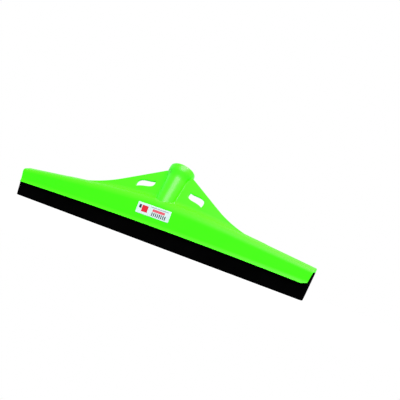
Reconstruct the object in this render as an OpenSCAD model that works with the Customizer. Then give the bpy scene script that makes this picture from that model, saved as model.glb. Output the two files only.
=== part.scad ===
// Floor squeegee head: a one-piece moulded head with a tilted handle socket,
// two foam strips that slide into its channel from the end, and a label.
// Millimetres, Z up, X along the length, Y from front to back.
// The origin is the middle of the front strip's bottom face.

/* [Length] */
// Length of the roof and of the strips
head_length = 400; // [300:10:550]
// How far the walls stop short of the roof at each end, at the lip
wall_setback = 3.8; // [1:0.1:5]
// How far the walls stop short of the roof at each end, under the roof
wall_top_setback = 0.85; // [0.5:0.05:1]

/* [Foam strips] */
// Thickness of one strip
strip_t = 4.5; // [3:0.5:6]
// Height of one strip
strip_h = 33; // [30:0.5:33]
// How much shorter each bottom end is than the top
strip_end_slant = 3.6; // [0:0.2:5]
// Play on each side of a strip
strip_play = 0.1; // [0.05:0.05:0.3]
// Play between a strip's top and the ribs above it
strip_top_play = 0.2; // [0.1:0.1:0.5]

/* [Walls] */
// Thickness of the front wall at the lip
front_wall_t = 1.95; // [1.6:0.05:3]
// Backward lean of the front wall's outer face, degrees
front_lean = 1.2; // [0:0.1:2]
// Thickness of the rear wall
rear_wall_t = 1.8; // [1.2:0.1:3]
// Height of the lip above the floor at the ends
lip_z = 17.4; // [14:0.2:19]
// Rise of the lip at mid-length
lip_bow = 2.8; // [0:0.2:4]
// How far the lip stands out from the wall
lip_flare = 2; // [1:0.1:2.5]
// Height over which the wall flares out to the lip
lip_band = 5.2; // [3.5:0.1:6]
// Height of the lip's upright edge
lip_edge = 0.8; // [0.5:0.1:1.5]
// Length of the bevel at the right end of the lip
lip_bevel_l = 6; // [2:0.5:12]
// Height of the bevel at the right end of the lip
lip_bevel_h = 2.2; // [0.5:0.1:3]

/* [Roof] */
// Height of the front ridge at mid-length
ridge_z = 52; // [50:0.5:54]
// Height of the front ridge at both ends
ridge_end_z = 34.8; // [34.7:0.1:37]
// Length over which the ridge rounds over at mid-length
ridge_round = 64; // [40:2:90]
// Rise of the roof towards the back, degrees
roof_pitch = 16; // [8:1:18]
// Thickness of the roof
roof_t = 2; // [1.6:0.1:2]
// Height of the bevel along the front ridge
shoulder_h = 2.2; // [1:0.1:3]
// Slope of the bevel along the front ridge, degrees
shoulder_pitch = 58; // [45:1:65]

/* [Ribs] */
// Thickness of the rib between the strips
centre_rib_t = 1.2; // [1:0.1:2]
// Height of the centre rib's lower edge above the floor
centre_rib_z = 23; // [21:0.5:26]
// Thickness of the cross ribs
cross_rib_t = 1.8; // [1.2:0.1:2.5]
// Distance between the cross ribs
cross_rib_gap = 48; // [30:2:60]
// Thickness of the end ribs, which close the channel above the strips
end_rib_t = 2; // [1.2:0.1:3]

/* [Web and socket] */
// Backward tilt of the web and the socket, degrees
tilt = 22; // [18:1:26]
// Where the web's front face meets the base height, behind the origin
web_y = 4.4; // [4:0.1:6]
// Base height from which lengths up the web are measured
web_z = 35.6; // [34:0.2:37]
// Thickness of the web
web_t = 3; // [2.5:0.1:4]
// Half width of the web at its toes, which end inside the roof
web_toe_x = 119; // [110:1:130]
// Length up the web at its toes
web_toe_s = 12; // [10:0.2:12]
// Half width of the web where its sloping edge turns into the toe curve
web_turn_x = 67; // [60:1:75]
// Length up the web at that turn
web_turn_s = 32.7; // [30:0.1:34]
// Slope of the web's straight edges, degrees
web_edge_angle = 31.5; // [28:0.5:33]
// Length up the web to the socket's mouth
socket_s = 70.4; // [66:0.2:74]
// How far the socket's axis lies behind the web's front face
socket_back = 3; // [1.5:0.1:4]
// Outside diameter of the socket under the collar
socket_d = 28.2; // [27.4:0.2:31]
// Outside diameter of the socket at its foot
socket_foot_d = 24.6; // [24.2:0.2:26]
// Length up the web to the socket's foot
socket_foot_s = 11; // [9:0.5:12]
// Outside diameter of the collar
collar_d = 33.7; // [32:0.1:38]
// Height of the collar
collar_h = 11.8; // [9:0.2:13]
// Bevel around both edges of the collar
collar_bevel = 1; // [0.3:0.1:1.5]
// Diameter of the bore for the handle
bore_d = 22.6; // [22:0.1:23]
// Depth of the bore
bore_depth = 46; // [38:1:48]

/* [Cut-outs] */
// Inner tip of the right cut-out, across the web
cut_in_x = 24.9; // [23:0.1:26]
// Inner tip, up the web
cut_in_s = 42.7; // [41:0.1:45]
// Outer tip, across the web
cut_out_x = 46.2; // [44:0.1:48]
// Outer tip, up the web
cut_out_s = 28.4; // [27:0.1:30]
// How far the lower edge leaves the inner tip towards the socket
cut_low_in_x = 4.2; // [2:0.1:6]
// How far the lower edge leaves the inner tip downwards
cut_low_in_s = 12.5; // [9:0.1:13]
// How far the lower edge reaches the outer tip sideways
cut_low_out_x = 10.2; // [7:0.1:12]
// How far the lower edge reaches the outer tip from above
cut_low_out_s = 6.5; // [3:0.1:7]
// How far the upper edge leaves the outer tip outwards
cut_top_out_x = 4.9; // [3:0.1:7]
// How far the upper edge leaves the outer tip upwards
cut_top_out_s = 16; // [13:0.1:19]
// How far the upper edge reaches the inner tip sideways
cut_top_in_x = 6.6; // [5:0.1:9]
// How far the upper edge reaches the inner tip from below
cut_top_in_s = 3.9; // [2:0.1:5]

/* [Label] */
// Width of the label
label_w = 45.5; // [30:0.5:60]
// Height of the label
label_h = 13.7; // [8:0.1:15]
// Thickness of the label
label_t = 0.2; // [0.1:0.05:0.5]
// Middle of the label along the length
label_x = -2; // [-20:1:20]
// Lower edge of the label above the floor
label_z = 30.4; // [26:0.2:32]

/* [Drawing] */
// Which piece to draw

/* [Hidden] */
$fn = 96;
half = head_length / 2;
wall_half = half - wall_setback;
top_half = half - wall_top_setback;
front_in = -strip_t / 2 - strip_play;
front_out = front_in - front_wall_t;
rear_strip_y = strip_t + 2 * strip_play + centre_rib_t;
rear_in = rear_strip_y + strip_t / 2 + strip_play;
rear_out = rear_in + rear_wall_t;
rib_z = strip_h + strip_top_play;
// Reach of shapes that are trimmed by others
far = 80;
// How far a shape runs into or past another where they meet
over = 1;
// Half the height over which the walls' ends step out to the roof's
end_step = 0.4;
steps = 40;
ridge_run = sqrt(half * half + ridge_round * ridge_round) - ridge_round;
root_y = web_y + web_t / cos(tilt) / 2;
web_rake = tan(tilt);
root_z = web_z + (rear_out - root_y) / web_rake;
toe_dx = web_toe_x - web_turn_x;
toe_ds = web_turn_s - web_toe_s;
toe_chord = sqrt(toe_dx * toe_dx + toe_ds * toe_ds);
toe_turn = web_edge_angle - atan(toe_ds / toe_dx);
toe_r = toe_chord / 2 / sin(toe_turn);

// Outer face of the front wall at a height
function front_y(z) = front_out + (z - lip_z) * tan(front_lean);

// Height of the front ridge along the length
function ridge(x) = ridge_z
    - (ridge_z - ridge_end_z) * (sqrt(x * x + ridge_round * ridge_round) - ridge_round) / ridge_run;

// Height of the lip along the length, with its bevelled right end
function lip(x) = lip_z + lip_bow * (1 - x * x / (wall_half * wall_half))
    + lip_bevel_h * max(0, x - wall_half + lip_bevel_l) / lip_bevel_l;

// Points along the length as far as the bevel
function stations() = [for (i = [-steps : steps]) i / steps * (wall_half - lip_bevel_l)];

// A point on a cubic curve from a to d, pulled towards b and c
function swing(a, b, c, d, t) = a * pow(1 - t, 3) + 3 * b * t * pow(1 - t, 2)
    + 3 * c * t * t * (1 - t) + d * pow(t, 3);

// Line along the front ridge, lowered by a drop
function ridge_line(reach, drop) = concat(
    [[-reach, ridge(reach) - drop]],
    [for (x = stations()) [x, ridge(x) - drop]],
    [[reach, ridge(reach) - drop]]
);

// Line along the bowed lip, without its bevel, raised by a rise
function lip_line(rise) = concat(
    [[-half - over, lip_z + rise]],
    [for (x = stations()) [x, lip(x) + rise]],
    [[half + over, lip_z + rise]]
);

// Everything under a surface that holds a line at one depth and rises to the back at a pitch
module under_slope(line, y, pitch) {
    reach = line[len(line) - 1][0];
    z = line[0][1];
    pts = [for (p = line) [p[0], (p[1] - z) * cos(pitch)]];
    translate([0, y, z])
        rotate([90 + pitch, 0, 0])
            linear_extrude(height = 2 * far, center = true)
                polygon(concat([[-reach, -2 * far]], pts, [[reach, -2 * far]]));
}

// Everything above the bowed lip edge, the walls' ends leaning out up to the roof
module above_lip() {
    edge = [for (x = stations()) [x, lip(x)]];
    step_low = rib_z - end_step;
    step_high = rib_z + end_step;
    left = [[-half, far], [-half, step_high], [-top_half, step_low], [-wall_half, lip(-wall_half)]];
    right = [[wall_half, lip(wall_half)], [top_half, step_low], [half, step_high], [half, far]];
    rotate([90, 0, 0])
        linear_extrude(height = 2 * far, center = true)
            polygon(concat(left, edge, right));
}

// Section of the body: front wall, rear wall and a back that runs up inside the web
module body_section() {
    rotate([90, 0, 90])
        linear_extrude(height = head_length, center = true)
            polygon([
                [front_y(0), 0],
                [rear_out, 0],
                [rear_out, root_z],
                [root_y + (far - web_z) * web_rake, far],
                [front_y(far), far]
            ]);
}

// Everything under the front flare, which follows the lip and rises to the wall
module under_flare() {
    pitch = atan((lip_band - lip_edge) / lip_flare);
    under_slope(lip_line(lip_edge), front_out - lip_flare, pitch);
}

// Flared bands along the lower edges of the front and rear walls
module lip_bands() {
    top = lip_line(lip_band + over);
    bottom = [[half + over, 0], [-half - over, 0]];
    intersection() {
        translate([0, rear_out + lip_flare, 0])
            rotate([90, 0, 0])
                linear_extrude(height = rear_out - front_out + 2 * lip_flare)
                    polygon(concat(top, bottom));
        under_flare();
        translate([0, front_out + rear_out, 0])
            mirror([0, 1, 0])
                under_flare();
    }
}

module body() {
    intersection() {
        above_lip();
        union() {
            lip_bands();
            intersection() {
                body_section();
                under_slope(ridge_line(half, 0), front_y(ridge_z), roof_pitch);
                under_slope(ridge_line(half, shoulder_h), front_y(ridge_z), shoulder_pitch);
            }
        }
    }
}

// The channel: open below and at both ends, with the ribs left standing
module channel() {
    difference() {
        intersection() {
            translate([-half - over, front_in, 0])
                cube([head_length + 2 * over, rear_in - front_in, far]);
            under_slope(ridge_line(half + 2 * over, roof_t), front_y(ridge_z), roof_pitch);
        }
        translate([-top_half, strip_t / 2 + strip_play, centre_rib_z])
            cube([2 * top_half, centre_rib_t, far]);
        for (i = [-3 : 3])
            rib(i * cross_rib_gap - cross_rib_t / 2, cross_rib_t);
        rib(-half - 2 * over, end_rib_t + 2 * over);
        rib(half - end_rib_t, end_rib_t + 2 * over);
    }
}

// A rib across the channel, above the strips
module rib(x, t) {
    translate([x, front_in - over, rib_z])
        cube([t, rear_in - front_in + 2 * over, far]);
}

// Places its children on the web: X across, Y up the web, Z out of its front
module on_web() {
    translate([0, web_y, web_z])
        rotate([90 - tilt, 0, 0])
            children();
}

module web() {
    top_x = socket_d / 2 - over;
    top_s = web_turn_s + (web_turn_x - top_x) * tan(web_edge_angle);
    on_web()
        translate([0, 0, -web_t])
            linear_extrude(height = web_t)
                difference() {
                    polygon([
                        [-web_toe_x, 0],
                        [web_toe_x, 0],
                        [web_toe_x, web_toe_s],
                        [web_turn_x, web_turn_s],
                        [top_x, top_s],
                        [-top_x, top_s],
                        [-web_turn_x, web_turn_s],
                        [-web_toe_x, web_toe_s]
                    ]);
                    for (side = [-1, 1])
                        translate([
                            side * (web_turn_x + toe_r * sin(web_edge_angle)),
                            web_turn_s + toe_r * cos(web_edge_angle)
                        ])
                            circle(r = toe_r, $fn = 360);
                    for (side = [0, 1])
                        mirror([side, 0])
                            cut_out();
                }
}

// Wave-shaped opening between two curves that share their tips
module cut_out() {
    turns = 12;
    a = [cut_in_x, cut_in_s];
    d = [cut_out_x, cut_out_s];
    low_a = a - [cut_low_in_x, cut_low_in_s];
    low_d = d + [-cut_low_out_x, cut_low_out_s];
    top_d = d + [cut_top_out_x, cut_top_out_s];
    top_a = a + [cut_top_in_x, -cut_top_in_s];
    lower = [for (i = [0 : turns]) swing(a, low_a, low_d, d, i / turns)];
    upper = [for (i = [1 : turns - 1]) swing(d, top_d, top_a, a, i / turns)];
    polygon(concat(lower, upper));
}

// Tapered socket with a bevelled collar
module socket() {
    body_h = socket_s - collar_h - socket_foot_s;
    on_web()
        translate([0, socket_foot_s, -socket_back])
            rotate([-90, 0, 0]) {
                cylinder(h = body_h, d1 = socket_foot_d, d2 = socket_d);
                translate([0, 0, body_h])
                    cylinder(h = collar_bevel, d1 = collar_d - 2 * collar_bevel, d2 = collar_d);
                translate([0, 0, body_h + collar_bevel])
                    cylinder(h = collar_h - 2 * collar_bevel, d = collar_d);
                translate([0, 0, body_h + collar_h - collar_bevel])
                    cylinder(h = collar_bevel, d1 = collar_d, d2 = collar_d - 2 * collar_bevel);
            }
}

module bore() {
    on_web()
        translate([0, socket_s - bore_depth, -socket_back])
            rotate([-90, 0, 0])
                cylinder(h = bore_depth + over, d = bore_d);
}

module head() {
    color([0.30, 0.96, 0.10])
        difference() {
            union() {
                body();
                web();
                socket();
            }
            channel();
            bore();
        }
}

// A strip stands upright in the channel; its ends slant in towards the floor
module strip() {
    rotate([90, 0, 0])
        linear_extrude(height = strip_t, center = true)
            polygon([
                [-half + strip_end_slant, 0],
                [half - strip_end_slant, 0],
                [half, strip_h],
                [-half, strip_h]
            ]);
}

module front_foam_strip() {
    color([0.03, 0.03, 0.03])
        strip();
}

module rear_foam_strip() {
    color([0.03, 0.03, 0.03])
        translate([0, rear_strip_y, 0])
            strip();
}

// Thin sticker lying on the front wall
module label() {
    color([0.95, 0.95, 0.93])
        translate([label_x, front_y(label_z), label_z])
            rotate([-front_lean, 0, 0])
                translate([-label_w / 2, -label_t, 0])
                    cube([label_w, label_t, label_h]);
}

head();
front_foam_strip();
rear_foam_strip();
label();
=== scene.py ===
import math

import bmesh
import bpy
from mathutils import Matrix, Vector


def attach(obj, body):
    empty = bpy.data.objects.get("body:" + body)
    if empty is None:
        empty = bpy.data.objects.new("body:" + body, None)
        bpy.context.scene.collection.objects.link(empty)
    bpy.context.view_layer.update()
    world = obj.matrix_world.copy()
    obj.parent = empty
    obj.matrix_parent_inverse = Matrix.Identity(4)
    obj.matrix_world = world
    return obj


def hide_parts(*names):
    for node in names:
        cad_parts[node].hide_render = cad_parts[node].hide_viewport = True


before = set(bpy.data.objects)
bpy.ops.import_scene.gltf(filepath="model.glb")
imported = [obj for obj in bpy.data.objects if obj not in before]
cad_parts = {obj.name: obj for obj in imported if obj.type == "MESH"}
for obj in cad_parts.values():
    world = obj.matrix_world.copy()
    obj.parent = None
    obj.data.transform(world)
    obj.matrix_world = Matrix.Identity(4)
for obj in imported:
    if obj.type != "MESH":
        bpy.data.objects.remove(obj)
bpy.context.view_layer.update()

# Body of the head: one hollow bar, injection-moulded of bright green plastic, with a front wall,
# a rear wall and a sloping roof that falls towards both ends and curls up into the web. The
# walls end below in a flared lip, bevelled at the right end.
MM = 0.001
HALF, WALL_SETBACK = 200.0, 3.8
WALL_HALF = HALF - WALL_SETBACK
WALL_ROWS = (0.1, 0.35, 0.65, 0.9)
RIDGE_Z, RIDGE_END_Z, RIDGE_ROUND = 52.0, 34.8, 64.0
RIDGE_SLOPE = (RIDGE_Z - RIDGE_END_Z) / (math.hypot(HALF, RIDGE_ROUND) - RIDGE_ROUND)
ROOF_PITCH = math.radians(16)
ROOF_POINTS, ROOF_FIRST, ROOF_STEP = 13, 0.06, 0.05
SHOULDER_MID_R, SHOULDER_END_R = 12.0, 5.5
LIP_Z, LIP_BOW, LIP_EDGE_R = 17.4, 2.8, 0.35
LIP_FLARE, FLARE_H, FLARE_CURVE, FLARE_RUNOUT = 1.98, 5.2, 1.9, 0.5
LIP_BEVEL_L, LIP_BEVEL_H = 6.0, 2.2
FRONT_OUT, FRONT_LEAN = -4.3, math.radians(1.2)
REAR_OUT, REAR_DROP = 10.05, 4.0
REAR_R, REAR_R_AT_WEB, REAR_R_RUN, REAR_R_MOST = 2.6, 0.5, 25.0, 0.45
END_R, END_R_FROM_Z, END_R_RISE = 1.0, 24.0, 8.0
STATION_GAP, LAST_STATION, BEFORE_END = 5, 195, 197.0
TILT = math.radians(22)
WEB_Y, WEB_Z, WEB_T, WEB_EDGE_R = 4.4, 35.6, 3.0, 0.8
# Sizes named S are lengths up the web from the point WEB_Y, WEB_Z.
TOE_X, TOE_S, TURN_X, TURN_S = 119.0, 12.0, 67.0, 32.7
EDGE_ANGLE, WEB_TOP_X = math.radians(31.5), 15.85
ROOT_R, ROOT_HALF, ROOT_LEAST, ROOT_SHARE = 9.0, 101.0, 0.15, 0.8
IN_WEB, UNDER_WEB, SINK = 0.5, 0.6, 0.04
WEB_MID_Y = WEB_Y + WEB_T / math.cos(TILT) / 2
KINK_Z = WEB_Z + (REAR_OUT - WEB_MID_Y) / math.tan(TILT)
UP = Vector((0, math.sin(TILT), math.cos(TILT)))
OUT = Vector((0, -math.cos(TILT), math.sin(TILT)))


def ridge(x):
    """Height of the corner between the front wall and the roof, before it is rounded."""
    return RIDGE_Z - RIDGE_SLOPE * (math.hypot(x, RIDGE_ROUND) - RIDGE_ROUND)


def lip(x, bevelled=True):
    """Height of the walls' lower edge, which bows up towards the middle."""
    run = max(0.0, x - WALL_HALF + LIP_BEVEL_L) / LIP_BEVEL_L if bevelled else 0.0
    return LIP_Z + LIP_BOW * (1 - x * x / WALL_HALF ** 2) + LIP_BEVEL_H * run


def front_y(z):
    """Place of the front wall's outer face at a height, as it leans back a little."""
    return FRONT_OUT + (z - LIP_Z) * math.tan(FRONT_LEAN)


def roof_z(x, y):
    """Height of the roof's upper face, before it is rounded."""
    return ridge(x) + (y - front_y(RIDGE_Z)) * math.tan(ROOF_PITCH)


def ease(t):
    """A soft step from 0 to 1."""
    t = min(1.0, max(0.0, t))
    return t * t * (3 - 2 * t)


def arc(centre, radius, start, end, count):
    """Points on a circle between two angles in degrees, both ends among them."""
    angles = [math.radians(start + (end - start) * i / (count - 1)) for i in range(count)]
    return [(centre[0] + radius * math.cos(a), centre[1] + radius * math.sin(a)) for a in angles]


def corner(before, at, after, reach, count):
    """A corner eased over a reach to each side."""
    start = at + (before - at).normalized() * reach
    end = at + (after - at).normalized() * reach
    eased = []
    for t in (i / (count - 1) for i in range(count)):
        eased.append(tuple(start.lerp(at, t).lerp(at.lerp(end, t), t)))
    return eased


def flare(height):
    """How far a wall stands out at a height above the straight lip."""
    return LIP_FLARE * max(0.0, 1 - height / FLARE_H) ** FLARE_CURVE


def flared_wall(x, face, sign, rows=8):
    """One wall's outer face from its rounded lip up, through the hollow flare above the lip."""
    level = lip(x, bevelled=False)
    start = lip(x) + LIP_EDGE_R
    end = level + FLARE_H + FLARE_RUNOUT
    edge = face(start) + sign * flare(start - level)
    round_the_edge = (270, 180) if sign < 0 else (-90, 0)
    points = arc((edge - sign * LIP_EDGE_R, start), LIP_EDGE_R, *round_the_edge, count=5)
    for i in range(1, rows + 1):
        z = start + (end - start) * i / rows
        points.append((face(z) + sign * flare(z - level), z))
    return points


def shoulder(x):
    """Start, centre and radius of the round from the front wall to the roof, widest at mid-length."""
    share = (ridge(x) - RIDGE_END_Z) / (RIDGE_Z - RIDGE_END_Z)
    radius = SHOULDER_END_R + (SHOULDER_MID_R - SHOULDER_END_R) * share
    wall = Vector((math.sin(FRONT_LEAN), math.cos(FRONT_LEAN)))
    back = Vector((math.cos(ROOF_PITCH), math.sin(ROOF_PITCH)))
    top = Vector((front_y(ridge(x)), ridge(x)))
    start = top - wall * radius * math.tan(wall.angle(back) / 2)
    return start, start + Vector((wall.y, -wall.x)) * radius, radius


def on_web(x, s, n):
    """A point across the web, up the web and out of its front face."""
    return Vector((x, WEB_Y, WEB_Z)) + UP * s + OUT * n


def web_outline(rows=8):
    """Half the web's edge from its toe to the collar, the toe curve an arc that meets the slope."""
    chord = math.hypot(TOE_X - TURN_X, TURN_S - TOE_S)
    bend = EDGE_ANGLE - math.atan2(TURN_S - TOE_S, TOE_X - TURN_X)
    radius = chord / 2 / math.sin(bend)
    centre = (TURN_X + radius * math.sin(EDGE_ANGLE), TURN_S + radius * math.cos(EDGE_ANGLE))
    far_end = math.degrees(math.atan2(TOE_S - centre[1], TOE_X - centre[0]))
    near_end = -90 - math.degrees(EDGE_ANGLE)
    toe = arc(centre, radius, far_end, near_end, count=20)
    slope_foot = Vector(toe[-1])
    slope_top = Vector((WEB_TOP_X, TURN_S + (TURN_X - WEB_TOP_X) * math.tan(EDGE_ANGLE)))
    return toe + [tuple(slope_foot.lerp(slope_top, i / rows)) for i in range(1, rows + 1)]


def web_top(x):
    """Length up the web to its edge at a distance from the middle."""
    points = web_outline()
    for (xa, sa), (xb, sb) in zip(points, points[1:]):
        if xb <= abs(x) <= xa:
            return sa + (sb - sa) * (abs(x) - xa) / (xb - xa)
    return points[-1][1]


def root_s(x):
    """Length up the web at which its front face leaves the roof."""
    gap = roof_z(x, WEB_Y) - WEB_Z
    return gap / (math.cos(TILT) - math.sin(TILT) * math.tan(ROOF_PITCH))


def roof_to_web(x, begun, rear):
    """Points along the roof, which curls up into the web's front face where the web stands on it."""
    if abs(x) > ROOT_HALF:
        return [tuple(begun.lerp(rear, ROOF_FIRST + ROOF_STEP * i)) for i in range(ROOF_POINTS)]
    along = Vector((math.cos(ROOF_PITCH), math.sin(ROOF_PITCH)))
    widen = math.tan((math.pi / 2 + TILT + ROOF_PITCH) / 2)
    s = root_s(x)
    root = on_web(x, s, 0).yz + along * (SINK / math.cos(TILT + ROOF_PITCH))
    room = max(ROOT_LEAST, (web_top(x) - s - WEB_EDGE_R) * ROOT_SHARE)
    reach = min(ROOT_R / widen, room)
    low = root - along * reach
    centre = low + Vector((-along.y, along.x)) * reach * widen
    flat = [tuple(begun.lerp(low, share)) for share in (ROOF_FIRST, 0.5)]
    inside = [tuple(root + UP.yz * reach - OUT.yz * IN_WEB), tuple(root + along * UNDER_WEB)]
    curl_points = ROOF_POINTS - len(flat) - len(inside)
    curl_turn = (math.degrees(ROOF_PITCH) - 90, -math.degrees(TILT))
    return flat + arc(centre, reach * widen, *curl_turn, count=curl_points) + inside


def body_section(x):
    """Outline of the bar across its length, from the front lip over the roof to the rear lip."""
    points = flared_wall(x, front_y, -1)
    start, centre, radius = shoulder(x)
    flare_end = Vector(points[-1])
    points += [tuple(flare_end.lerp(start, share)) for share in WALL_ROWS]
    shoulder_turn = (180 - math.degrees(FRONT_LEAN), 90 + math.degrees(ROOF_PITCH))
    points += arc(centre, radius, *shoulder_turn, count=15)
    if roof_z(x, REAR_OUT) > KINK_Z:
        slant = math.tan(TILT)
        z = WEB_Z + (roof_z(x, WEB_MID_Y) - WEB_Z) / (1 - slant * math.tan(ROOF_PITCH))
        rear = Vector((WEB_MID_Y + (z - WEB_Z) * slant, z))
        kink = Vector((REAR_OUT, KINK_Z))
    else:
        rear = Vector((REAR_OUT, roof_z(x, REAR_OUT)))
        kink = rear - Vector((0, REAR_DROP))
    begun = Vector(points[-1])
    points += roof_to_web(x, begun, rear)
    reach = REAR_R_AT_WEB + (REAR_R - REAR_R_AT_WEB) * ease((abs(x) - ROOT_HALF) / REAR_R_RUN)
    points += corner(begun, rear, kink, min(reach, REAR_R_MOST * (kink - rear).length), count=5)
    points.append(tuple(kink))
    behind = flared_wall(x, lambda z: REAR_OUT, 1)[::-1]
    points += [tuple(kink.lerp(Vector(behind[0]), share)) for share in WALL_ROWS[1:]]
    return points + behind


def inset(ring, depth, sharpest=0.5):
    """The outline moved inwards by a depth, along each point's own normal."""
    moved = []
    for i, point in enumerate(ring):
        here = Vector(point)
        before = (here - Vector(ring[i - 1])).normalized()
        after = (Vector(ring[(i + 1) % len(ring)]) - here).normalized()
        inward = Vector((before.y + after.y, -before.x - after.x)).normalized()
        step = depth / max(sharpest, inward.dot(Vector((before.y, -before.x))))
        moved.append(tuple(here + inward * step))
    return moved


def rounded_end(x, depth):
    """A section near the end of the bar, drawn in by a depth over the roof but not at the lip."""
    outline = body_section(x)
    ring = []
    for (y, z), drawn_in in zip(outline, inset(outline, depth)):
        share = ease((z - END_R_FROM_Z) / END_R_RISE)
        ring.append((x, *Vector((y, z)).lerp(Vector(drawn_in), share)))
    return ring


def new_piece(name, blank):
    """Closes a bmesh into an object at the origin, with its faces pointing outwards."""
    bmesh.ops.recalc_face_normals(blank, faces=blank.faces)
    mesh = bpy.data.meshes.new(name)
    blank.to_mesh(mesh)
    blank.free()
    piece = bpy.data.objects.new(name, mesh)
    bpy.context.scene.collection.objects.link(piece)
    return piece


def join_rows(blank, rows):
    """Faces between rows of points, each row closed into a ring."""
    for a, b in zip(rows, rows[1:]):
        for i in range(len(a)):
            blank.faces.new((a[i - 1], a[i], b[i], b[i - 1]))


def loft(name, rings):
    """A closed solid through rings of as many points each, in millimetres, capped at both ends."""
    blank = bmesh.new()
    rows = [[blank.verts.new(Vector(p) * MM) for p in ring] for ring in rings]
    join_rows(blank, rows)
    blank.faces.new(rows[0])
    blank.faces.new(rows[-1])
    return new_piece(name, blank)


quarter = [math.radians(degrees) for degrees in range(0, 91, 15)]
right_end = [(BEFORE_END, 0.0)]
right_end += [(HALF - END_R * (1 - math.sin(a)), END_R * (1 - math.cos(a))) for a in quarter]
left_end = [(-x, depth) for x, depth in reversed(right_end)]
between = [(x, 0.0) for x in range(-LAST_STATION, LAST_STATION + 1, STATION_GAP)]
stations = left_end + between + right_end
head_shell = loft("head_shell", [rounded_end(x, depth) for x, depth in stations])

# Web and socket: the upright triangular plate that leans back from the roof, with two
# wave-shaped openings, and the tapered socket that takes the handle. Both are moulded in one
# with the bar, with small radii along the socket, which ends in a rounded collar.
SOCKET_S, SOCKET_OFF, SOCKET_D = 70.4, -3.0, 28.2
FOOT_S, FOOT_D, FOOT_R, SHAFT_FROM = 11.0, 24.6, 1.6, 2.5
COLLAR_D, COLLAR_H, RIM_R = 33.7, 11.8, 2.4
SWELL_S, SWELL_L, BELLY_S, BELLY_R = 51.0, 12.0, 64.5, 40.0
TOE_FADE, TOE_DROP = 14.0, 6.0
EDGE_ROUND = ((1.0, 0.0), (0.5, 0.13), (0.13, 0.5), (0.0, 1.0))
OPENING_INNER, OPENING_OUTER = Vector((24.9, 42.7)), Vector((46.2, 28.4))
LOWER_PULLS = (Vector((-4.2, -12.5)), Vector((-10.2, 6.5)))
UPPER_PULLS = (Vector((4.9, 16.0)), Vector((6.6, -3.9)))
FRONT_BLEND_R, FRONT_BLEND_S = 1.2, 6.0
BACK_BLEND_R, BACK_BLEND_S = 3.0, FOOT_S + 1.5
BLEND_TOP_S = SOCKET_S - COLLAR_H + 0.6
BLEND_FADE, BLEND_FADE_L, BLEND_IN_SOCKET, BLEND_IN_WEB = 0.6, 12.0, 2.0, 0.5


def opening(count=24):
    """The wave-shaped opening right of the socket, between two curves that share their tips."""
    inner, outer = OPENING_INNER, OPENING_OUTER
    lower = (inner, inner + LOWER_PULLS[0], outer + LOWER_PULLS[1], outer)
    upper = (outer, outer + UPPER_PULLS[0], inner + UPPER_PULLS[1], inner)
    loop = []
    for a, b, c, d in (lower, upper):
        for t in (i / count for i in range(count)):
            near = a * (1 - t) ** 3 + b * 3 * t * (1 - t) ** 2
            far = c * 3 * t * t * (1 - t) + d * t ** 3
            loop.append(tuple(near + far))
    return loop


def plate(name, loops, levels, place):
    """A plate with openings: each loop is drawn at each level's inset and depth, then filled."""
    blank = bmesh.new()
    caps = [[], []]
    for loop in loops:
        rows = []
        for depth, n in levels:
            rows.append([blank.verts.new(place(x, s, n) * MM) for x, s in inset(loop, depth)])
        join_rows(blank, rows)
        for cap, row in zip(caps, (rows[0], rows[-1])):
            cap += [blank.edges.get((row[i - 1], row[i])) for i in range(len(row))]
    for cap in caps:
        bmesh.ops.triangle_fill(blank, edges=cap, use_beauty=True)
    return new_piece(name, blank)


def turned(name, profile, sides=144):
    """A solid turned about the socket's axis, from (length up the web, radius) points."""
    angles = [2 * math.pi * i / sides for i in range(sides)]
    rings = []
    for s, r in profile:
        rings.append([on_web(r * math.sin(a), s, SOCKET_OFF + r * math.cos(a)) for a in angles])
    return loft(name, rings)


def socket_r(s):
    """Radius of the tapered socket, which swells softly into its barrel-shaped collar."""
    neck = SOCKET_S - COLLAR_H
    shaft = (FOOT_D + (SOCKET_D - FOOT_D) * (min(s, neck) - FOOT_S) / (neck - FOOT_S)) / 2
    barrel = COLLAR_D / 2 - (s - BELLY_S) ** 2 / (2 * BELLY_R)
    return shaft + (barrel - shaft) * ease((s - SWELL_S) / SWELL_L)


def socket_profile(rows=44):
    """The socket's outside from its rounded foot to the rim, whose round runs on from the collar."""
    tilt = (SOCKET_S - RIM_R - BELLY_S) / BELLY_R
    rim_s = SOCKET_S - RIM_R * (1 - math.sin(tilt))
    rim_centre = (SOCKET_S - RIM_R, socket_r(rim_s) - RIM_R * math.cos(tilt))
    foot_r = socket_r(FOOT_S + FOOT_R)
    foot = [(FOOT_S + FOOT_R + s, foot_r - FOOT_R + r) for s, r in arc((0, 0), FOOT_R, 180, 90, count=7)]
    lengths = [FOOT_S + SHAFT_FROM + (rim_s - FOOT_S - SHAFT_FROM) * i / rows for i in range(rows)]
    rim = arc(rim_centre, RIM_R, 90 - math.degrees(tilt), 0, count=13)
    return foot + [(s, socket_r(s)) for s in lengths] + rim


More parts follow.
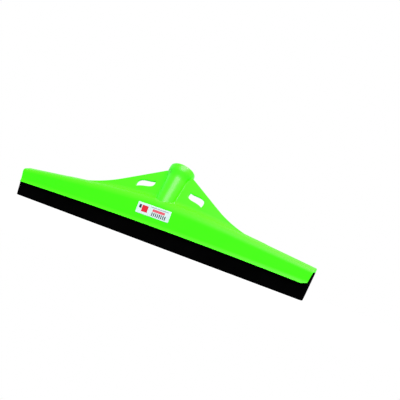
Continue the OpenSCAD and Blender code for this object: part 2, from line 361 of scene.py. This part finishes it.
def socket_blend(side, face, rows=20):
    """Radius between the socket and the web's front (1) or back (-1) face, as one long sliver."""
    widest, first = (FRONT_BLEND_R, FRONT_BLEND_S) if face > 0 else (BACK_BLEND_R, BACK_BLEND_S)
    level = 0.0 if face > 0 else -WEB_T
    mid_web = -WEB_T / 2
    rings = []
    for i in range(rows + 1):
        s = first + (BLEND_TOP_S - first) * i / rows
        radius = widest * (1 - BLEND_FADE * ease((s - BLEND_TOP_S + BLEND_FADE_L) / BLEND_FADE_L))
        skin = socket_r(s)
        n = level + face * (radius - SINK)
        across = math.sqrt((skin + radius - SINK) ** 2 - (n - SOCKET_OFF) ** 2)
        from_web = -face * math.pi / 2
        to_axis = math.atan2(SOCKET_OFF - n, -across)
        if face * to_axis > 0:
            to_axis -= face * 2 * math.pi
        points = arc((across, n), radius, math.degrees(from_web), math.degrees(to_axis), count=10)
        inner = skin - BLEND_IN_SOCKET
        points += [(inner, (SOCKET_OFF + n) / 2), (inner - BLEND_IN_WEB, mid_web)]
        points.append((across - BLEND_IN_WEB, mid_web))
        rings.append([on_web(side * x, s, m) for x, m in points])
    return loft("blend", rings)


def combine(base, tool, operation):
    """Joins a closed solid to another, or cuts it away, and leaves one plain mesh."""
    step = base.modifiers.new("step", "BOOLEAN")
    step.operation, step.solver, step.object = operation, "MANIFOLD", tool
    seen = base.evaluated_get(bpy.context.evaluated_depsgraph_get())
    shaped = bpy.data.meshes.new_from_object(seen)
    base.modifiers.remove(step)
    old = base.data
    base.data = shaped
    bpy.data.meshes.remove(old)
    bpy.data.meshes.remove(tool.data)


def mirrored(points):
    """The same points left of the middle, run through backwards."""
    return [(-x, s) for x, s in reversed(points)]


half_edge = web_outline()[::-1]
half_edge += [(TOE_X + TOE_FADE, TOE_S - TOE_DROP), (TOE_X + TOE_FADE, 0.0)]
opening_right = opening()
front_edge = [(a * WEB_EDGE_R, -b * WEB_EDGE_R) for a, b in EDGE_ROUND]
back_edge = [(depth, -WEB_T - n) for depth, n in reversed(front_edge)]
web_loops = [mirrored(half_edge) + half_edge, opening_right, mirrored(opening_right)]
combine(head_shell, plate("web", web_loops, front_edge + back_edge, on_web), "UNION")
combine(head_shell, turned("socket", socket_profile()), "UNION")
for side in (-1, 1):
    for face in (-1, 1):
        combine(head_shell, socket_blend(side, face), "UNION")

# Hollow of the head: the mould's core leaves a channel under the roof, closed at both ends above
# the strips, and a bore for the handle with an eased mouth. The walls' ends are drafted inwards
# to the lip. The finished plastic is satin on the bar and the web and polished on the socket.
FRONT_IN, REAR_IN, ROOF_T = -2.35, 8.25, 2.0
STOP_Z, END_RIB_T, END_STEP = 33.2, 2.0, 0.001
WALL_TOP_SETBACK, WALL_TOP_Z = 0.85, STOP_Z - 0.4
CEILING_EASE, EASE_FROM_Z, LEAST_EASE = 0.35, RIDGE_END_Z + 3, 0.01
BELOW, PAST_END, PAST_SIDES, PAST_TOP = -5.0, 3.0, 60.0, 3.2
CHANNEL_ROWS, PAST_CHANNEL = 66, 1.0
BORE_D, BORE_DEPTH, BORE_TOP, BORE_ROWS = 22.6, 46.0, 1.4, 10
MOUTH = ((-0.9, 0.12), (-0.35, 0.45), (0.0, 0.9), (5.0, 8.9))
GREEN, PALE_GREEN = (0.044, 0.86, 0.0012), (0.049, 0.90, 0.0018)
SATIN = {"Roughness": 0.44, "Specular IOR Level": 0.19}
POLISHED = {"Roughness": 0.31, "Specular IOR Level": 0.36}
POLISH_FOOT_S, POLISH_FULL_S, POLISH_FADE = 8.0, 12.0, 1.0
SHAFT_REACH, SHAFT_S, COLLAR_REACH, COLLAR_S = 14.0, 48.0, 17.0, 60.0


def channel_section(x, under_roof):
    """Outline of the hollow, its front upper corner cut off where the roof is high."""
    cut, rear, front = LEAST_EASE, STOP_Z, STOP_Z
    if under_roof:
        cut = max(LEAST_EASE, CEILING_EASE * (ridge(x) - EASE_FROM_Z))
        rear = roof_z(x, REAR_IN) - ROOF_T
        front = roof_z(x, FRONT_IN + cut) - ROOF_T
    outline = [(FRONT_IN, BELOW), (REAR_IN, BELOW)]
    outline += [(REAR_IN, rear), (FRONT_IN + cut, front), (FRONT_IN, front - cut)]
    return [(x, y, z) for y, z in outline]


wall_draft = (WALL_SETBACK - WALL_TOP_SETBACK) / (WALL_TOP_Z - LIP_Z)
trim = [(WALL_HALF - wall_draft * (LIP_Z - BELOW), BELOW), (HALF + PAST_END, BELOW)]
trim += [(HALF + PAST_END, STOP_Z + PAST_TOP), (HALF - WALL_TOP_SETBACK, WALL_TOP_Z)]
for side in (-1, 1):
    trim_rings = [[(side * x, y, z) for x, z in trim] for y in (-PAST_SIDES, PAST_SIDES)]
    combine(head_shell, loft("trim", trim_rings), "DIFFERENCE")

channel_rows = [i / CHANNEL_ROWS for i in range(-CHANNEL_ROWS, CHANNEL_ROWS + 1)]
channel_end = HALF - END_RIB_T
channel_marks = [(-HALF - PAST_CHANNEL, False), (-channel_end - END_STEP, False)]
channel_marks += [(share * channel_end, True) for share in channel_rows]
channel_marks += [(channel_end + END_STEP, False), (HALF + PAST_CHANNEL, False)]
channel = loft("channel", [channel_section(x, under_roof) for x, under_roof in channel_marks])
combine(head_shell, channel, "DIFFERENCE")

bore_foot, bore_top = SOCKET_S - BORE_DEPTH, SOCKET_S - BORE_TOP
bore_step = (bore_top - bore_foot) / BORE_ROWS
bore = [(bore_foot + bore_step * i, BORE_D / 2) for i in range(BORE_ROWS + 1)]
bore += [(SOCKET_S + above, BORE_D / 2 + wider) for above, wider in MOUTH]
combine(head_shell, turned("bore", bore), "DIFFERENCE")


def feed(tree, kind, *sources, mode=None, **named):
    """Outputs of a new node, its inputs fed in order or by name with other sockets or with values."""
    made = tree.nodes.new(kind)
    if mode:
        made.operation = mode
    wires = list(zip(made.inputs, sources))
    wires += [(made.inputs[name.replace("_", " ")], source) for name, source in named.items()]
    for inlet, source in wires:
        if isinstance(source, bpy.types.NodeSocket):
            tree.links.new(source, inlet)
        else:
            inlet.default_value = source
    return made.outputs


def mottle_group():
    """Slow unevenness and fine grain over a surface, as two masks round a half."""
    tree = bpy.data.node_groups.new("surface_mottle", "ShaderNodeTree")
    sockets = tree.interface
    for name, scale in (("Cloud Scale", 40.0), ("Grain Scale", 900.0)):
        sockets.new_socket(name, in_out="INPUT", socket_type="NodeSocketFloat").default_value = scale
    for name in ("Cloud", "Grain"):
        sockets.new_socket(name, in_out="OUTPUT", socket_type="NodeSocketFloat")
    given = tree.nodes.new("NodeGroupInput").outputs
    made = tree.nodes.new("NodeGroupOutput").inputs
    place = feed(tree, "ShaderNodeTexCoord")["Object"]
    for name, detail in (("Cloud", 3.0), ("Grain", 4.0)):
        scale = given[name + " Scale"]
        noise = feed(tree, "ShaderNodeTexNoise", Vector=place, Scale=scale, Detail=detail)
        tree.links.new(noise["Fac"], made[name])
    return tree


mottle = mottle_group()


def new_material(name, clouds, grains):
    """A material with its tree, its Principled shader and the masks of its own mottle group."""
    material = bpy.data.materials.new(name)
    material.use_nodes = True
    tree = material.node_tree
    group = tree.nodes.new("ShaderNodeGroup")
    group.node_tree = mottle
    group.inputs["Cloud Scale"].default_value = clouds
    group.inputs["Grain Scale"].default_value = grains
    return material, tree, tree.nodes["Principled BSDF"], group.outputs


def ramp(tree, source, low, high, stops=(0.3, 0.7)):
    """A colour or grey that follows a mask between two values."""
    made = tree.nodes.new("ShaderNodeValToRGB")
    for stop, colour, position in zip(made.color_ramp.elements, (low, high), stops):
        stop.position = position
        stop.color = (*colour, 1) if isinstance(colour, tuple) else (colour, colour, colour, 1)
    tree.links.new(source, made.inputs["Fac"])
    return made.outputs["Color"]


def remap(tree, source, low, high, start, end):
    """A value that runs from a start to an end while another runs from a low to a high."""
    return feed(tree, "ShaderNodeMapRange", source, low, high, start, end)[0]


def math_node(tree, mode, *sources):
    """Result of one sum on numbers."""
    return feed(tree, "ShaderNodeMath", *sources, mode=mode)[0]


def vector_node(tree, mode, *sources):
    """Results of one sum on vectors, a vector and a number."""
    return feed(tree, "ShaderNodeVectorMath", *sources, mode=mode)


def bump(tree, shader, height, distance, strength):
    """Lets a mask roughen a shader's surface."""
    raised = feed(tree, "ShaderNodeBump", Height=height, Distance=distance, Strength=strength)
    tree.links.new(raised["Normal"], shader.inputs["Normal"])


green_plastic, green_tree, shader, masks = new_material("green_moulded_plastic", clouds=28, grains=1400)
green_tree.links.new(ramp(green_tree, masks["Cloud"], GREEN, PALE_GREEN), shader.inputs["Base Color"])
place = feed(green_tree, "ShaderNodeTexCoord")["Object"]
from_axis = vector_node(green_tree, "SUBTRACT", place, on_web(0, 0, SOCKET_OFF) * MM)["Vector"]
up_axis = vector_node(green_tree, "DOT_PRODUCT", from_axis, UP)["Value"]
off_axis = vector_node(green_tree, "CROSS_PRODUCT", from_axis, UP)["Vector"]
off_axis = vector_node(green_tree, "LENGTH", off_axis)["Value"]
reach = remap(green_tree, up_axis, SHAFT_S * MM, COLLAR_S * MM, SHAFT_REACH * MM, COLLAR_REACH * MM)
beyond = math_node(green_tree, "SUBTRACT", off_axis, reach)
near_axis = remap(green_tree, beyond, 0.0, POLISH_FADE * MM, 1.0, 0.0)
above_foot = remap(green_tree, up_axis, POLISH_FOOT_S * MM, POLISH_FULL_S * MM, 0.0, 1.0)
polish = math_node(green_tree, "MULTIPLY", near_axis, above_foot)
for inlet in SATIN:
    finish = remap(green_tree, polish, 0.0, 1.0, SATIN[inlet], POLISHED[inlet])
    green_tree.links.new(finish, shader.inputs[inlet])
bump(green_tree, shader, masks["Grain"], distance=0.02 * MM, strength=0.1)


def smooth(piece, angle):
    """Smooth faces, with edges sharper than an angle kept crisp and flat faces kept flat."""
    piece.data.polygons.foreach_set("use_smooth", [True] * len(piece.data.polygons))
    piece.data.set_sharp_from_angle(angle=math.radians(angle))
    flat = piece.modifiers.new("flat_faces", "WEIGHTED_NORMAL")
    flat.keep_sharp = True
    flat.weight = 50


head_shell.data.materials.clear()
head_shell.data.materials.append(green_plastic)
smooth(head_shell, angle=34)
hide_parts("head")
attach(head_shell, "squeegee_head")

# Ribs in the channel: a thin rib along the middle parts the two strips, and cross ribs every
# 48 mm stop their tops. All are moulded with the head, of the same plastic, and hang from
# the underside of the roof.
RIB_GAP, RIB_COUNT, RIB_T, RIB_LAP, RIB_RISE = 48.0, 7, 1.8, 0.4, 1.4
CENTRE_RIB_T, CENTRE_RIB_Z, CENTRE_RIB_Y = 1.2, 23.0, 2.35
CENTRE_RIB_TIP, CENTRE_RIB_RISE, CENTRE_RIB_LAP = 0.3, 0.8, 0.2
PICK = 1.0

rib_tree = bpy.data.node_groups.new("channel_rib_row", "GeometryNodeTree")
rib_sizes = {
    "Gap": RIB_GAP * MM,
    "Thickness": RIB_T * MM,
    "Front": (FRONT_IN - RIB_LAP) * MM,
    "Rear": (REAR_IN + RIB_LAP) * MM,
    "Foot": STOP_Z * MM,
    "Ridge": (RIDGE_Z - RIB_RISE) * MM,
    "Slope": RIDGE_SLOPE,
    "Round": RIDGE_ROUND * MM,
    "Pitch": math.tan(ROOF_PITCH),
    "Ease": CEILING_EASE,
    "Ease From": EASE_FROM_Z * MM,
}
sockets = rib_tree.interface
sockets.new_socket("Centre Rib", in_out="INPUT", socket_type="NodeSocketGeometry")
for name, size in rib_sizes.items():
    sockets.new_socket(name, in_out="INPUT", socket_type="NodeSocketFloat").default_value = size
sockets.new_socket("Count", in_out="INPUT", socket_type="NodeSocketInt").default_value = RIB_COUNT
sockets.new_socket("Finish", in_out="INPUT", socket_type="NodeSocketMaterial")
sockets.new_socket("Ribs", in_out="OUTPUT", socket_type="NodeSocketGeometry")
sized = rib_tree.nodes.new("NodeGroupInput").outputs


def rib_math(mode, a, b=0.0):
    """Result of one sum in the rib tree."""
    return math_node(rib_tree, mode, a, b)


def rib_vector(**axes):
    """A vector in the rib tree from its X, Y and Z."""
    return feed(rib_tree, "ShaderNodeCombineXYZ", **axes)[0]


def rib_step(kind, **named):
    """First output of a geometry node in the rib tree."""
    return feed(rib_tree, "GeometryNode" + kind, **named)[0]


depth = rib_math("SUBTRACT", sized["Rear"], sized["Front"])
middle = rib_math("MULTIPLY", rib_math("ADD", sized["Rear"], sized["Front"]), 0.5)
half_gap_back = rib_math("MULTIPLY", sized["Gap"], -0.5)
first = rib_math("MULTIPLY", rib_math("SUBTRACT", sized["Count"], 1.0), half_gap_back)
row = rib_step("MeshLine", Count=sized["Count"], Offset=rib_vector(X=sized["Gap"]),
               Start_Location=rib_vector(X=first, Y=middle, Z=sized["Foot"]))
spot = feed(rib_tree, "ShaderNodeSeparateXYZ", rib_step("InputPosition"))
x_squared = rib_math("MULTIPLY", spot["X"], spot["X"])
round_squared = rib_math("MULTIPLY", sized["Round"], sized["Round"])
away = rib_math("SQRT", rib_math("ADD", x_squared, round_squared))
fall = rib_math("MULTIPLY", rib_math("SUBTRACT", away, sized["Round"]), sized["Slope"])
peak = rib_math("SUBTRACT", sized["Ridge"], fall)
tall = rib_math("SUBTRACT", peak, sized["Foot"])
blank = rib_step("MeshCube", Size=rib_vector(X=sized["Thickness"], Y=depth, Z=1.0), Vertices_Y=3)
blank = rib_step("Transform", Geometry=blank, Translation=(0.0, 0.0, 0.5))
ribs = rib_step("InstanceOnPoints", Points=row, Instance=blank, Scale=rib_vector(X=1.0, Y=1.0, Z=tall))
ribs = rib_step("RealizeInstances", Geometry=ribs)
lean = rib_math("MULTIPLY", rib_math("SUBTRACT", spot["Y"], sized["Front"]), sized["Pitch"])
upper = rib_math("GREATER_THAN", spot["Z"], rib_math("ADD", sized["Foot"], PICK * MM))
in_front = rib_math("LESS_THAN", spot["Y"], rib_math("ADD", sized["Front"], PICK * MM))
eased = rib_math("MULTIPLY", rib_math("SUBTRACT", peak, sized["Ease From"]), sized["Ease"])
eased = rib_math("MULTIPLY", rib_math("MAXIMUM", eased, 0.0), in_front)
rise = rib_math("MULTIPLY", rib_math("SUBTRACT", lean, eased), upper)
ribs = rib_step("SetPosition", Geometry=ribs, Offset=rib_vector(Z=rise))
both = rib_tree.nodes.new("GeometryNodeJoinGeometry")
rib_tree.links.new(ribs, both.inputs[0])
rib_tree.links.new(sized["Centre Rib"], both.inputs[0])
dressed = rib_step("SetMaterial", Geometry=both.outputs[0], Material=sized["Finish"])
rib_tree.links.new(dressed, rib_tree.nodes.new("NodeGroupOutput").inputs["Ribs"])


def centre_rib_section(x):
    """Outline of the centre rib, its lower edges bevelled and its top inside the roof."""
    front, rear = CENTRE_RIB_Y, CENTRE_RIB_Y + CENTRE_RIB_T
    tip, bevelled = CENTRE_RIB_Z, CENTRE_RIB_Z + CENTRE_RIB_TIP
    top = roof_z(x, CENTRE_RIB_Y) - ROOF_T + CENTRE_RIB_RISE
    outline = [(front + CENTRE_RIB_TIP, tip), (rear - CENTRE_RIB_TIP, tip), (rear, bevelled)]
    outline += [(rear, top), (front, top), (front, bevelled)]
    return [(x, y, z) for y, z in outline]


centre_end = channel_end + CENTRE_RIB_LAP
centre_rib = loft("centre_rib", [centre_rib_section(share * centre_end) for share in channel_rows])
rib_row = centre_rib.modifiers.new("rib_row", "NODES")
rib_row.node_group = rib_tree
identifiers = {socket.name: socket.identifier for socket in sockets.items_tree}
rib_row[identifiers["Finish"]] = green_plastic
for name, size in rib_sizes.items():
    rib_row[identifiers[name]] = size
grown = centre_rib.evaluated_get(bpy.context.evaluated_depsgraph_get())
channel_ribs = bpy.data.objects.new("channel_ribs", bpy.data.meshes.new_from_object(grown))
bpy.data.objects.remove(centre_rib)
bpy.context.scene.collection.objects.link(channel_ribs)
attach(channel_ribs, "squeegee_head")

# Foam strips: two flat strips of black closed-cell foam rubber, cut from sheet, that stand side
# by side in the channel and touch the floor. Nothing but friction holds them; worn ones are
# pulled out of the head's end and new ones pushed in.
STRIP_T, STRIP_H, STRIP_SLANT = 4.5, 33.0, 3.6
STRIP_ROWS = (1.3, 2.2, 4.0, 7.0, 10.0, 13.5, LIP_Z, 22.0, 26.0, 30.0)
STRIP_SPANS = 100
REAR_STRIP_Y = 5.9
FOAM_EDGE_R, FOAM_TOP_R, FOAM_END_R, FOAM_CORNER_R = 0.9, 0.3, 0.5, 1.3
THINNING, LONG_SWAY, SHORT_SWAY = 0.03, 0.052, 0.131
BLACK, SOOT = (0.0005, 0.0005, 0.0006), (0.0010, 0.0010, 0.0012)
CELL_SCALE = 1500.0


def strip_section():
    """Outline of a strip seen from its end, clockwise, its edges softened."""
    side, edge, top = STRIP_T / 2, FOAM_EDGE_R, FOAM_TOP_R
    points = arc((-side + edge, edge), edge, 270, 180, count=7)
    points += [(-side, z) for z in STRIP_ROWS]
    points += arc((-side + top, STRIP_H - top), top, 180, 90, count=4)
    points += arc((side - top, STRIP_H - top), top, 90, 0, count=4)
    points += [(side, z) for z in reversed(STRIP_ROWS)]
    return points + arc((side - edge, edge), edge, 0, -90, count=7)


def strip_piece(name, y_mid, phase):
    """A strip drawn along its length, its ends slanting in, its faces very slightly uneven."""
    outline = strip_section()
    angles = [math.radians(degrees) for degrees in (0, 25, 50, 70, 90)]
    end = [(FOAM_END_R * (1 - math.sin(a)), FOAM_END_R * (1 - math.cos(a))) for a in angles]
    marks = [(-1, back, depth) for back, depth in reversed(end)]
    marks += [(-1 + 2 * i / STRIP_SPANS, 0.0, 0.0) for i in range(1, STRIP_SPANS)]
    marks += [(1, back, depth) for back, depth in end]
    rings = []
    for along, back, depth in marks:
        ring = []
        for y, z in inset(outline, depth):
            reach = HALF - STRIP_SLANT * (1 - z / STRIP_H)
            short = max(0.0, FOAM_CORNER_R - z)
            reach -= FOAM_CORNER_R - math.sqrt(max(0.0, FOAM_CORNER_R ** 2 - short ** 2))
            x = along * reach - math.copysign(back, along)
            sway = 2 + math.sin(x * LONG_SWAY + phase) + math.sin(x * SHORT_SWAY + 2 * phase)
            thin = 1 - THINNING * sway / 4 * max(0.0, 1 - z / LIP_Z)
            ring.append((x, y_mid + y * thin, z))
        rings.append(ring)
    return loft(name, rings)


black_foam, foam_tree, shader, masks = new_material("black_foam_rubber", clouds=55, grains=2600)
foam_tree.links.new(ramp(foam_tree, masks["Cloud"], BLACK, SOOT), shader.inputs["Base Color"])
place = feed(foam_tree, "ShaderNodeTexCoord")["Object"]
cells = feed(foam_tree, "ShaderNodeTexVoronoi", Vector=place, Scale=CELL_SCALE)
skin = math_node(foam_tree, "MULTIPLY", cells["Distance"], masks["Grain"])
foam_tree.links.new(ramp(foam_tree, skin, 1.0, 0.9, stops=(0.0, 0.5)), shader.inputs["Roughness"])
shader.inputs["Specular IOR Level"].default_value = 0.005
bump(foam_tree, shader, skin, distance=0.25 * MM, strength=0.35)

strips = (("front_foam", "front_foam_strip", "front_strip", 0.0, 0.7),
          ("rear_foam", "rear_foam_strip", "rear_strip", REAR_STRIP_Y, 2.1))
for name, node, body, y_mid, phase in strips:
    foam = strip_piece(name, y_mid, phase)
    foam.data.materials.append(black_foam)
    smooth(foam, angle=40)
    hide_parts(node)
    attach(foam, body)

# Label: a paper sticker with rounded corners, stuck flat on the front wall just left of the
# middle. Its print is plain: two colour blocks, a red bar, a grey rule and a row of stripes.
LABEL_W, LABEL_H, LABEL_T, LABEL_R = 45.5, 13.7, 0.2, 0.9
LABEL_X, LABEL_Z, LABEL_EDGE, LABEL_SINK = -2.0, 30.4, 0.06, 0.02
PAPER, PALE_PAPER = (0.56, 0.71, 0.70), (0.62, 0.76, 0.75)
RED_INK, PALE_RED_INK = (0.62, 0.012, 0.03), (0.68, 0.09, 0.13)
DARK_INK, GREY_INK = (0.02, 0.02, 0.035), (0.16, 0.17, 0.22)
RED_BLOCK, DARK_BLOCK = (0.15, 0.33, 0.22, 0.80), (0.06, 0.13, 0.48, 0.80)
GREY_RULE, RED_BAR = (0.40, 0.92, 0.82, 0.865), (0.47, 0.84, 0.50, 0.72)
STRIPE_AREA, STRIPES_ACROSS, STRIPE_FILL = (0.47, 0.89, 0.10, 0.44), 36.0, 0.85


def on_wall(x, s, n):
    """A point on the front wall: across, up from the label's lower edge, and out of the wall."""
    lean_up = Vector((0, math.sin(FRONT_LEAN), math.cos(FRONT_LEAN)))
    lean_out = Vector((0, -math.cos(FRONT_LEAN), math.sin(FRONT_LEAN)))
    return Vector((LABEL_X + x, front_y(LABEL_Z), LABEL_Z)) + lean_up * s + lean_out * n


half_w = LABEL_W / 2
sheet_edge = arc((-half_w + LABEL_R, LABEL_R), LABEL_R, 270, 180, count=6)
sheet_edge += arc((-half_w + LABEL_R, LABEL_H - LABEL_R), LABEL_R, 180, 90, count=6)
sheet_edge += arc((half_w - LABEL_R, LABEL_H - LABEL_R), LABEL_R, 90, 0, count=6)
sheet_edge += arc((half_w - LABEL_R, LABEL_R), LABEL_R, 0, -90, count=6)
sheet_levels = [(LABEL_EDGE, LABEL_T), (0.0, LABEL_T - LABEL_EDGE), (0.0, -LABEL_SINK)]
sticker = plate("paper_label", [sheet_edge], sheet_levels, on_wall)

label_paper, label_tree, shader, masks = new_material("printed_label_paper", clouds=90, grains=3000)
place = feed(label_tree, "ShaderNodeTexCoord")["Object"]
corner_at_zero = (-(LABEL_X - half_w) / LABEL_W, 0, -LABEL_Z / LABEL_H)
sheet_to_one = (1 / (LABEL_W * MM), 1, 1 / (LABEL_H * MM))
on_sheet = feed(label_tree, "ShaderNodeMapping", Vector=place, Location=corner_at_zero,
                Scale=sheet_to_one)
sheet_axes = feed(label_tree, "ShaderNodeSeparateXYZ", on_sheet["Vector"])


def printed(left, right, low, high):
    """A mask that is 1 inside one block of the sheet, in shares of its width and height."""
    mask = 1.0
    for axis, least, most in (("X", left, right), ("Z", low, high)):
        above = math_node(label_tree, "GREATER_THAN", sheet_axes[axis], least)
        below = math_node(label_tree, "LESS_THAN", sheet_axes[axis], most)
        between_both = math_node(label_tree, "MULTIPLY", above, below)
        mask = math_node(label_tree, "MULTIPLY", mask, between_both)
    return mask


def ink(under, mask, colour):
    """One printed colour over what lies under it; colours are the mix node's inputs 6 and 7."""
    made = label_tree.nodes.new("ShaderNodeMix")
    made.data_type = "RGBA"
    label_tree.links.new(mask, made.inputs["Factor"])
    label_tree.links.new(under, made.inputs[6])
    made.inputs[7].default_value = (*colour, 1)
    return made.outputs[2]


stripe = math_node(label_tree, "MULTIPLY", sheet_axes["X"], STRIPES_ACROSS)
stripe = math_node(label_tree, "FLOOR", stripe)
chance = label_tree.nodes.new("ShaderNodeTexWhiteNoise")
chance.noise_dimensions = "1D"
label_tree.links.new(stripe, chance.inputs["W"])
filled = math_node(label_tree, "GREATER_THAN", chance.outputs["Value"], STRIPE_FILL)
stripes = math_node(label_tree, "MAXIMUM", math_node(label_tree, "MODULO", stripe, 2.0), filled)
stripes = math_node(label_tree, "MULTIPLY", printed(*STRIPE_AREA), stripes)
sheet = ramp(label_tree, masks["Cloud"], PAPER, PALE_PAPER)
sheet = ink(sheet, printed(*RED_BLOCK), RED_INK)
sheet = ink(sheet, printed(*DARK_BLOCK), DARK_INK)
sheet = ink(sheet, printed(*GREY_RULE), GREY_INK)
sheet = ink(sheet, printed(*RED_BAR), PALE_RED_INK)
sheet = ink(sheet, stripes, DARK_INK)
label_tree.links.new(sheet, shader.inputs["Base Color"])
label_tree.links.new(ramp(label_tree, masks["Cloud"], 0.50, 0.40), shader.inputs["Roughness"])
shader.inputs["Specular IOR Level"].default_value = 0.35
bump(label_tree, shader, masks["Grain"], distance=0.01 * MM, strength=0.3)
sticker.data.materials.append(label_paper)
smooth(sticker, angle=30)
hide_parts("label")
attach(sticker, "squeegee_head")

# Studio: a plain white floor and surround, two soft lamps from above and in front, and the camera
# close to the floor, rolled as the picture is, with the head across the frame.
FLOOR_HALF = 6.0
GLOW_NEAR, GLOW_FAR, GLOW_AT_PART = 0.2, 0.5, 0.75
FLOOR_LIT, FLOOR_SEEN = 0.12, 0.5
SURROUND_LIT, SURROUND_SEEN = 0.4, 1.0
LAMP_AIM = Vector((0, 0.01, 0.06))
LENS, SENSOR = 52.68, 36.0
EYE = Vector((0.29339, -0.63874, 0.01751))
RIGHT = Vector((0.88610, 0.31385, 0.34107))
DOWN = Vector((0.29403, 0.18823, -0.93708))
AHEAD = Vector((-0.35830, 0.93063, 0.07451))


def seen_directly(tree):
    """1 for what the camera sees straight, mirrored or through something clear, and 0 for light."""
    rays = feed(tree, "ShaderNodeLightPath")
    straight_or_mirrored = math_node(tree, "MAXIMUM", rays["Is Camera Ray"], rays["Is Glossy Ray"])
    return math_node(tree, "MAXIMUM", straight_or_mirrored, rays["Is Transmission Ray"])


floor_mesh = bmesh.new()
bmesh.ops.create_grid(floor_mesh, x_segments=1, y_segments=1, size=FLOOR_HALF)
floor = new_piece("floor", floor_mesh)
floor_white = bpy.data.materials.new("floor_white")
floor_white.use_nodes = True
floor_tree = floor_white.node_tree
shader = floor_tree.nodes["Principled BSDF"]
shader.inputs["Roughness"].default_value = 0.9
shader.inputs["Specular IOR Level"].default_value = 0.0
directly = seen_directly(floor_tree)
paleness = remap(floor_tree, directly, 0.0, 1.0, FLOOR_LIT, FLOOR_SEEN)
floor_tree.links.new(paleness, shader.inputs["Base Color"])
place = feed(floor_tree, "ShaderNodeTexCoord")["Object"]
away = vector_node(floor_tree, "LENGTH", place)["Value"]
fade = remap(floor_tree, away, GLOW_NEAR, GLOW_FAR, GLOW_AT_PART, 1.0)
share = math_node(floor_tree, "MULTIPLY", directly, fade)
glow = feed(floor_tree, "ShaderNodeEmission", Strength=1.0)[0]
surface = feed(floor_tree, "ShaderNodeMixShader", share, shader.outputs[0], glow)[0]
floor_tree.links.new(surface, floor_tree.nodes["Material Output"].inputs["Surface"])
floor.data.materials.append(floor_white)

world = bpy.data.worlds.new("studio_surround")
world.use_nodes = True
bpy.context.scene.world = world
world_tree = world.node_tree
backdrop = world_tree.nodes["Background"]
backdrop.inputs["Color"].default_value = (1, 1, 1, 1)
level = remap(world_tree, seen_directly(world_tree), 0.0, 1.0, SURROUND_LIT, SURROUND_SEEN)
world_tree.links.new(level, backdrop.inputs["Strength"])


def lamp(name, toward, distance, size, watts):
    """A soft square lamp that hangs in a direction from the socket's foot and faces it."""
    light = bpy.data.lights.new(name, "AREA")
    light.size, light.energy = size, watts
    fitting = bpy.data.objects.new(name, light)
    fitting.location = LAMP_AIM + Vector(toward).normalized() * distance
    fitting.rotation_euler = (LAMP_AIM - fitting.location).to_track_quat("-Z", "Y").to_euler()
    bpy.context.scene.collection.objects.link(fitting)


lamp("key_lamp", (0.23, -0.6, 0.77), distance=1.6, size=1.25, watts=38)
lamp("top_lamp", (0.45, 0.0, 1.0), distance=1.6, size=0.9, watts=50)

lens = bpy.data.cameras.new("camera")
lens.sensor_fit, lens.sensor_width, lens.lens = "HORIZONTAL", SENSOR, LENS
lens.clip_start = 0.01
camera = bpy.data.objects.new("camera", lens)
columns = (RIGHT, -DOWN, -AHEAD, EYE)
camera.matrix_world = Matrix([[column[i] for column in columns] for i in range(3)] + [[0, 0, 0, 1]])
bpy.context.scene.collection.objects.link(camera)
bpy.context.scene.camera = camera
bpy.context.scene.view_settings.view_transform = "Standard"
